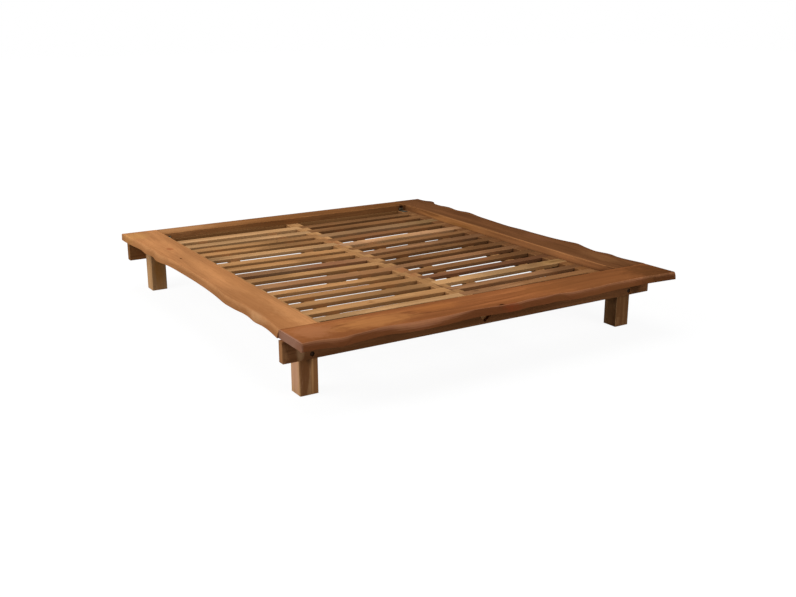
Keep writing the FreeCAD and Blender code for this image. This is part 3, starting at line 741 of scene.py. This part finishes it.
# Knots in the tops: millimetres from the middle of the well, radius
SLAT_KNOTS = {
    "left_slat_03": ((-300, 0.009),),
    "left_slat_08": ((-590, 0.020), (-640, 0.010)),
    "left_slat_11": ((-70, 0.012),),
    "left_slat_14": ((-480, 0.010),),
    "right_slat_05": ((610, 0.007),),
    "right_slat_08": ((520, 0.010),),
    "right_slat_13": ((840, 0.018), (770, 0.009)),
    "right_slat_15": ((100, 0.014),),
}
# Stains on the tops: millimetres from the middle of the well, radius, tone
SLAT_STAINS = {
    "left_slat_01": ((-120, 0.08, (160, 118, 80)),),
    "left_slat_03": ((-140, 0.08, (140, 98, 62)),),
    "left_slat_04": ((-140, 0.10, (128, 86, 52)),),
    "left_slat_05": ((-880, 0.06, (110, 86, 60)),),
    "left_slat_08": ((-590, 0.08, (150, 122, 92)), (-300, 0.08, (132, 86, 62))),
    "left_slat_10": ((-160, 0.10, (146, 102, 64)), (-850, 0.06, (186, 140, 98))),
    "left_slat_12": ((-300, 0.08, (150, 96, 54)),),
    "right_slat_03": ((780, 0.08, (108, 82, 44)), (120, 0.08, (176, 132, 90))),
    "right_slat_04": ((400, 0.10, (132, 84, 60)),),
    "right_slat_05": ((880, 0.07, (120, 80, 48)), (420, 0.05, (168, 126, 76))),
    "right_slat_07": ((860, 0.08, (88, 54, 32)),),
    "right_slat_08": ((860, 0.08, (88, 54, 32)),),
    "right_slat_09": ((820, 0.10, (84, 50, 28)),),
    "right_slat_10": ((800, 0.12, (92, 58, 34)),),
    "right_slat_11": ((550, 0.018, (168, 74, 42)), (820, 0.09, (92, 56, 30))),
    "right_slat_12": ((800, 0.12, (88, 54, 32)),),
    "right_slat_13": (
        (750, 0.05, (112, 72, 40)), (845, 0.04, (188, 148, 92)), (900, 0.04, (96, 60, 32)),
    ),
    "right_slat_14": ((860, 0.10, (98, 60, 32)),),
    "right_slat_15": ((750, 0.15, (132, 88, 50)),),
    "right_slat_16": ((700, 0.15, (140, 90, 50)),),
}
# Slats whose front takes a tone of its own, partly the slat's own tone and partly painted shade, not only
# a painted darker shade of their top
FRONT_TONES_AND_SHADE = {
    "left_slat_08": (116, 72, 44),
    "left_slat_10": (150, 106, 66),
    "right_slat_03": (140, 94, 62),
    "right_slat_05": (176, 130, 84),
    "right_slat_13": (138, 94, 52),
}
# Painted shade: what the other fronts have of the red, green and blue of the top
FRONT_PAINTED_SHADE = (0.88, 0.82, 0.74)
KNOT_SHAPE = (0.7, 1.0, 0.6)
KNOT_DEPTH = 0.004
SLAT_STAIN_AMOUNT = 0.6
SLAT_SIDE_SHADE = 0.6
# Seeds of the draws and of each slat's grain
CHANCE_SEED = 20
SLAT_SEED = 30
SLAT_SEED_STEP = 1.7
SIDE_SEEDS = {"left": 4, "right": 5}
# What is drawn by chance, in metres or as a share, between these two values
PITH_ACROSS = (-0.06, 0.06)
PITH_BELOW = (0.02, 0.09)
KNOT_ACROSS = (-0.015, 0.015)
CHANCE_STAINS = 2
STAIN_SHADE = (0.72, 1.12)
STAIN_RADIUS = (0.05, 0.12)
RING_WIDTH = (0.005, 0.010)
RING_FIGURE = (0.4, 0.8)
STREAK_FIGURE = (0.6, 1.0)


def across_well(x):
    """A place along X given in millimetres from the middle of the well."""
    return x / 1000 + WELL_X


def marked_knots(node, middle, top, chance):
    """A slat's knots from the table, each a little off its middle line."""
    knots = []
    for x, radius in SLAT_KNOTS.get(node, ()):
        y = middle.y + chance.uniform(*KNOT_ACROSS)
        knots.append((Vector((across_well(x), y, top - KNOT_DEPTH)), radius, KNOT_SHAPE))
    return knots


def slat_stain(x, middle, top, radius, colour):
    return Vector((x, middle.y, top)), radius, ALONG_X_SHAPE, colour, SLAT_STAIN_AMOUNT


def chance_stain(low, high, middle, tone, chance):
    shade = chance.uniform(*STAIN_SHADE)
    colour = tuple(min(255, channel * shade) for channel in tone[1])
    x = chance.uniform(low.x, high.x)
    return slat_stain(x, middle, high.z, chance.uniform(*STAIN_RADIUS), colour)


def slat_wood(node, tone, seed, chance):
    """One slat's timber: its own cut of a log, its marks and some more by chance."""
    low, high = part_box(node)
    middle = (low + high) / 2
    across = middle.y + chance.uniform(*PITH_ACROSS)
    pith = (middle.x, across, middle.z - chance.uniform(*PITH_BELOW))
    knots = marked_knots(node, middle, high.z, chance)
    stains = [slat_stain(across_well(x), middle, high.z, radius, colour)
              for x, radius, colour in SLAT_STAINS.get(node, ())]
    stains += [chance_stain(low, high, middle, tone, chance) for _ in range(CHANCE_STAINS)]
    # Fronts darker than the top: painted shade
    shaded = tuple(channel * share for channel, share in zip(tone[1], FRONT_PAINTED_SHADE))
    return wood(
        node + "_wood", "x", pith, tone, seed, ring=chance.uniform(*RING_WIDTH),
        figure=chance.uniform(*RING_FIGURE), streaks=chance.uniform(*STREAK_FIGURE), knots=knots,
        stains=stains, side=FRONT_TONES_AND_SHADE.get(node, shaded), side_shade_amount=SLAT_SIDE_SHADE,
    )


def dress_slats():
    """Draws by chance in the order of the slats, left before right."""
    chance = random.Random(CHANCE_SEED)
    for side, tones in (("left", LEFT_SLATS), ("right", RIGHT_SLATS)):
        for number, tone in enumerate(tones, 1):
            node = "%s_slat_%02d" % (side, number)
            seed = SLAT_SEED + number * SLAT_SEED_STEP + SIDE_SEEDS[side]
            dress(node, slat_wood(node, tone, seed, chance))


dress_slats()


# Battens

dress_all((
    "left_inner_batten", "left_head_batten", "left_foot_batten", "right_inner_batten",
    "right_outer_batten",
), wood("batten_wood", "y", well(-400, 0, 200), TAN, seed=90.0))


# Metals

CLOUD_WAVES = 60.0
CLOUD_RANGE = (0.35, 0.65)
SCRATCH_WAVES = (900.0, 90.0, 900.0)
SCRATCH_ROUGHNESS = 0.18


def metal(name, tone, other, roughness, seed):
    """Steel that clouds from one tone to the other, with fine scratches."""
    material, t = new_material(name)
    coordinates = t.put("ShaderNodeTexCoord").outputs["Object"]
    cloud = t.noise(coordinates, CLOUD_WAVES, detail=3.0, rough=0.6, seed=seed)
    colour = t.mix(t.ramp(cloud, *CLOUD_RANGE), linear(*tone), linear(*other))
    scratch = t.noise(coordinates, SCRATCH_WAVES, detail=2.0, rough=0.6)
    rough = t.math("MULTIPLY_ADD", scratch, SCRATCH_ROUGHNESS, roughness)
    shader = finish_material(t, colour, rough, scratch, strength=0.15, depth=0.0002, gloss=0.5)
    shader.inputs["Metallic"].default_value = 1.0
    return material


dress_all(("angle_brackets", "corner_brackets"),
          metal("bracket_steel", (94, 84, 70), (52, 44, 36), roughness=0.4, seed=2.0))
dress_all(("bracket_screws", "batten_screws"),
          metal("screw_steel", (170, 160, 128), (128, 118, 90), roughness=0.3, seed=5.0))
# Bolts and washers near black-brown: painted shade of the holes they sit in
dress_all(("end_rail_bolts", "side_rail_bolts", "bolt_washers"),
          metal("bolt_steel", (46, 32, 22), (28, 19, 13), roughness=0.5, seed=8.0))


# Dowels

dress("board_dowels", wood("dowel_wood", "y", well(0, 0, 300), TAN, seed=95.0, ring=0.003))


# Floor, world and lamps

WHITE = (1.0, 1.0, 1.0, 1.0)
FLOOR_SIZE = 60.0
# How pale the matt floor is, and what the camera sees on top of that
FLOOR_PALE = 0.28
PALE_FOR_CAMERA = 0.5
# The glow that whitens the floor: its share up to the near distance and from the far one on
FLOOR_GLOW = 1.06
GLOW_NEAR = 1.8
GLOW_FAR = 4.2
GLOW_SHARE_NEAR = 0.87
GLOW_SHARE_FAR = 1.0
AMBIENT = 0.25
BACKDROP = 1.0


def light_path(t):
    """Whether a ray is from the camera, and whether it's that, a reflection or through glass."""
    path = t.put("ShaderNodeLightPath").outputs
    seen = t.math("MAXIMUM", path["Is Camera Ray"], path["Is Glossy Ray"])
    return path["Is Camera Ray"], t.math("MAXIMUM", seen, path["Is Transmission Ray"])


def plain_light(t, kind, strength):
    made = t.put(kind)
    made.inputs["Color"].default_value = WHITE
    made.inputs["Strength"].default_value = strength
    return made


def blend(t, factor, first, second, output):
    """Ends a node tree in a blend of two shaders."""
    made = t.put("ShaderNodeMixShader")
    t.feed(made.inputs[0], factor)
    t.feed(made.inputs[1], first.outputs[0])
    t.feed(made.inputs[2], second.outputs[0])
    t.feed(t.put(output).inputs[0], made.outputs[0])


def floor():
    """Matt for the light it throws on the bed, and whitened where it is seen."""
    bpy.ops.mesh.primitive_plane_add(size=FLOOR_SIZE, location=(0.0, 0.0, 0.0))
    made = bpy.context.object
    made.name = "floor"
    material, t = new_material("floor_white")
    camera_ray, seen = light_path(t)
    matt = t.put("ShaderNodeBsdfDiffuse")
    pale = t.math("MULTIPLY_ADD", camera_ray, PALE_FOR_CAMERA, FLOOR_PALE)
    t.feed(matt.inputs["Color"], t.join(pale, pale, pale))
    away = t.vector("LENGTH", t.put("ShaderNodeTexCoord").outputs["Object"])
    share = t.ramp(away, GLOW_NEAR, GLOW_FAR, GLOW_SHARE_NEAR, GLOW_SHARE_FAR)
    glow = plain_light(t, "ShaderNodeEmission", FLOOR_GLOW)
    blend(t, t.math("MULTIPLY", seen, share), matt, glow, "ShaderNodeOutputMaterial")
    made.data.materials.append(material)


def studio():
    """Soft light from all round that looks white from the camera."""
    world = bpy.data.worlds.new("studio")
    bpy.context.scene.world = world
    world.use_nodes = True
    world.node_tree.nodes.clear()
    t = Tree(world.node_tree)
    _, seen = light_path(t)
    ambient = plain_light(t, "ShaderNodeBackground", AMBIENT)
    white = plain_light(t, "ShaderNodeBackground", BACKDROP)
    blend(t, seen, ambient, white, "ShaderNodeOutputWorld")


def lamp(name, place, target, size, power):
    """A square lamp, with its size in metres and its power in watts."""
    data = bpy.data.lights.new(name, "AREA")
    data.shape = "SQUARE"
    data.size = size
    data.energy = power
    made = bpy.data.objects.new(name, data)
    bpy.context.scene.collection.objects.link(made)
    made.location = place
    made.rotation_euler = (Vector(target) - Vector(place)).to_track_quat("-Z", "Y").to_euler()


floor()
studio()
lamp("left_lamp", (-5.2, 0.2, 3.4), (0.0, 0.0, 0.3), size=4.0, power=235.0)
lamp("top_lamp", (0.3, 1.2, 5.0), (0.0, 0.0, 0.3), size=4.5, power=150.0)
lamp("front_lamp", (2.2, -5.6, 1.9), (0.0, -1.0, 0.2), size=3.0, power=125.0)
